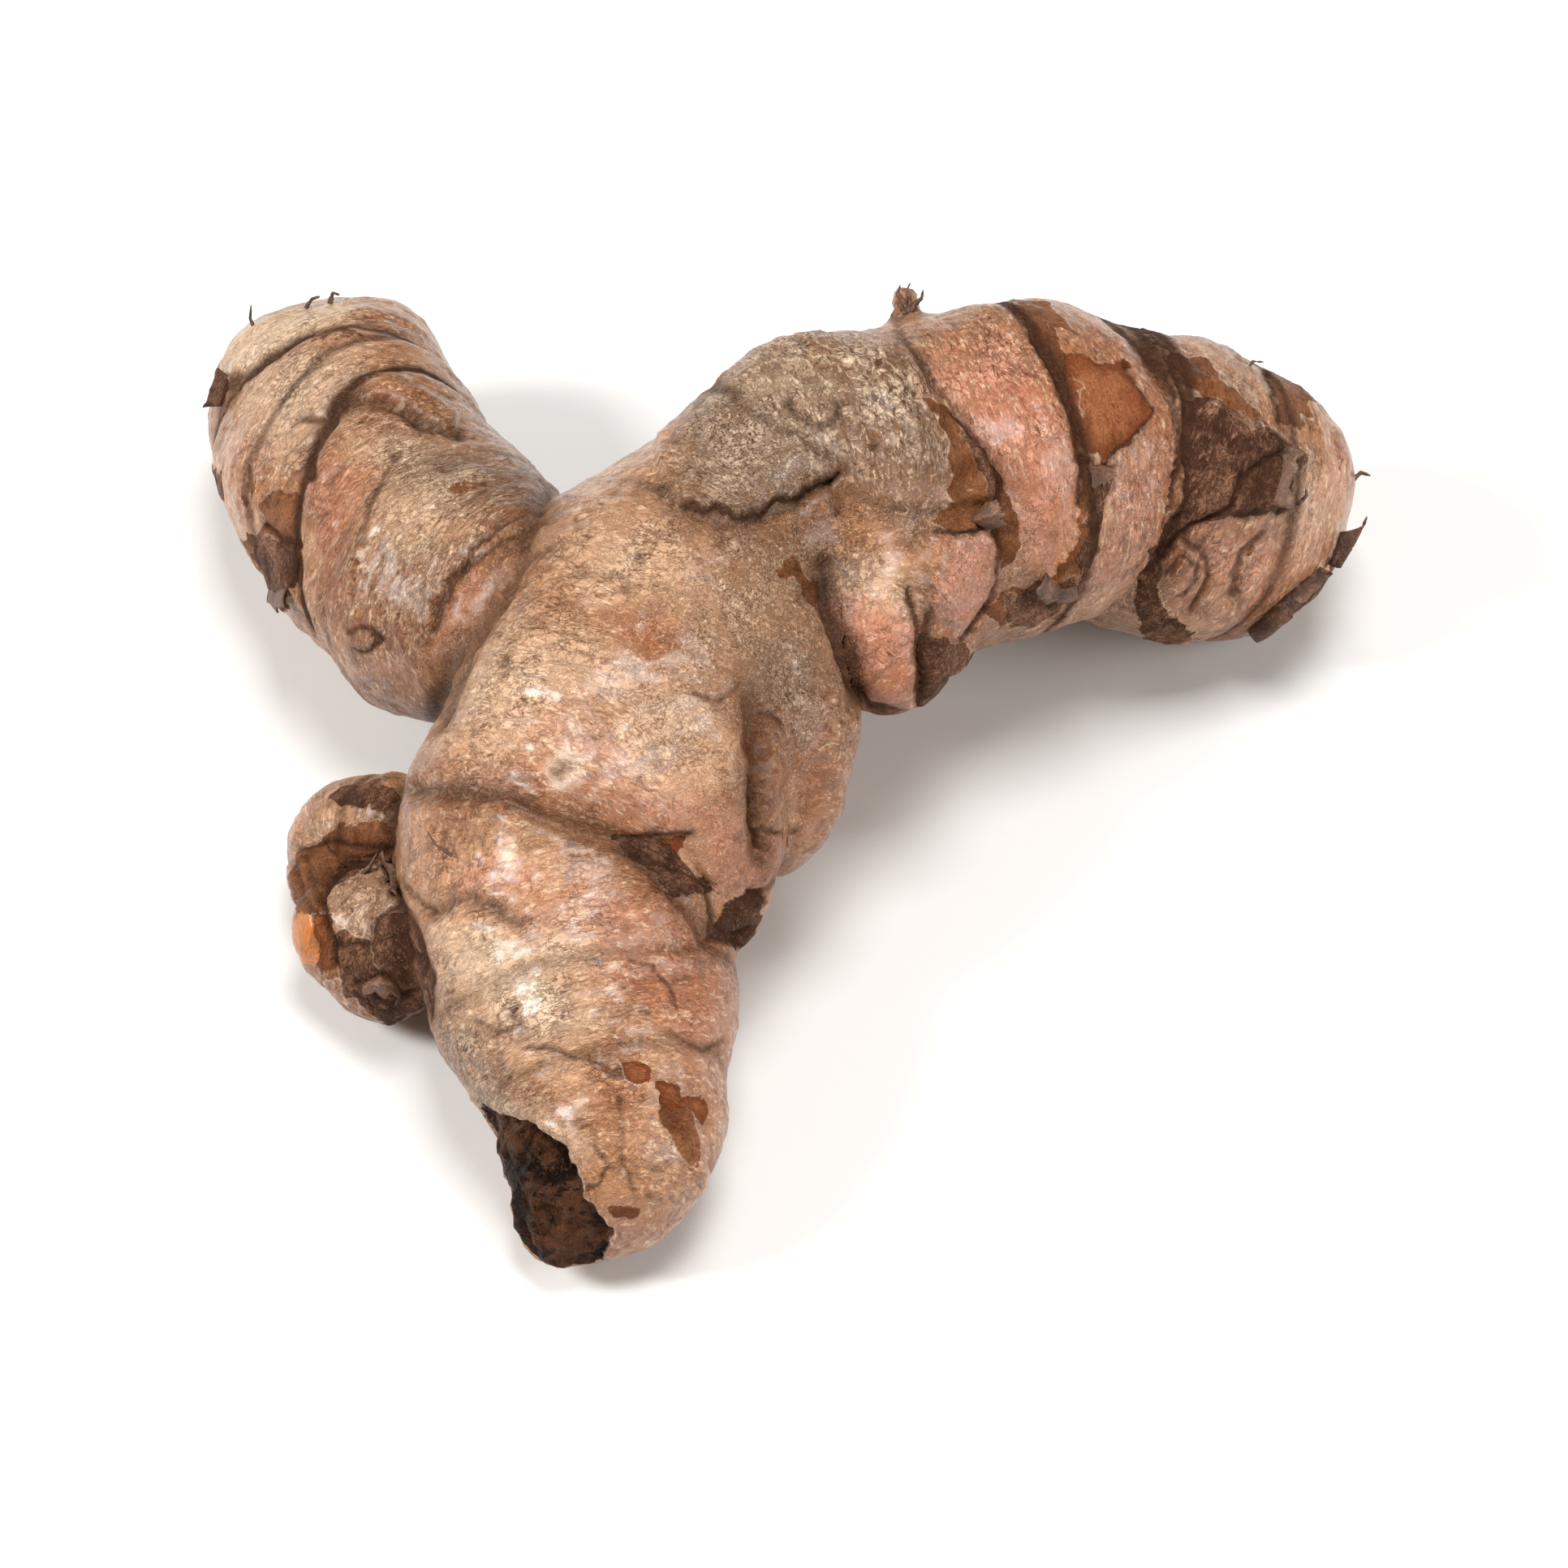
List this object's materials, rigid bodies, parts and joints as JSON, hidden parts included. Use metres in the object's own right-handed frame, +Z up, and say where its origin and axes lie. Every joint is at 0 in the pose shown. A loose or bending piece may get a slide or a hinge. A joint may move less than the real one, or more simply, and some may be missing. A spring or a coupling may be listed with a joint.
{
  "type": "turmeric rhizome",
  "caption": "Fresh turmeric rhizome with a knobbly crown, blunt ringed fingers that spread from it and small side nubs, resting on the tips of its fingers.",
  "frame": {"origin": "middle of the bounding box in plan, on the surface that the rhizome rests on", "axes": "+Z up, away from the surface; the front finger points along -Y, the right finger along +X and back, the left finger along -X and back"},
  "size_m": [0.0718, 0.0708, 0.0271],
  "materials": {
    "skin": "dry tan to salmon-brown skin with a dull sheen"
  },
  "bodies": {
    "root": {"rhizome": "skin"}
  },
  "joints": []
}
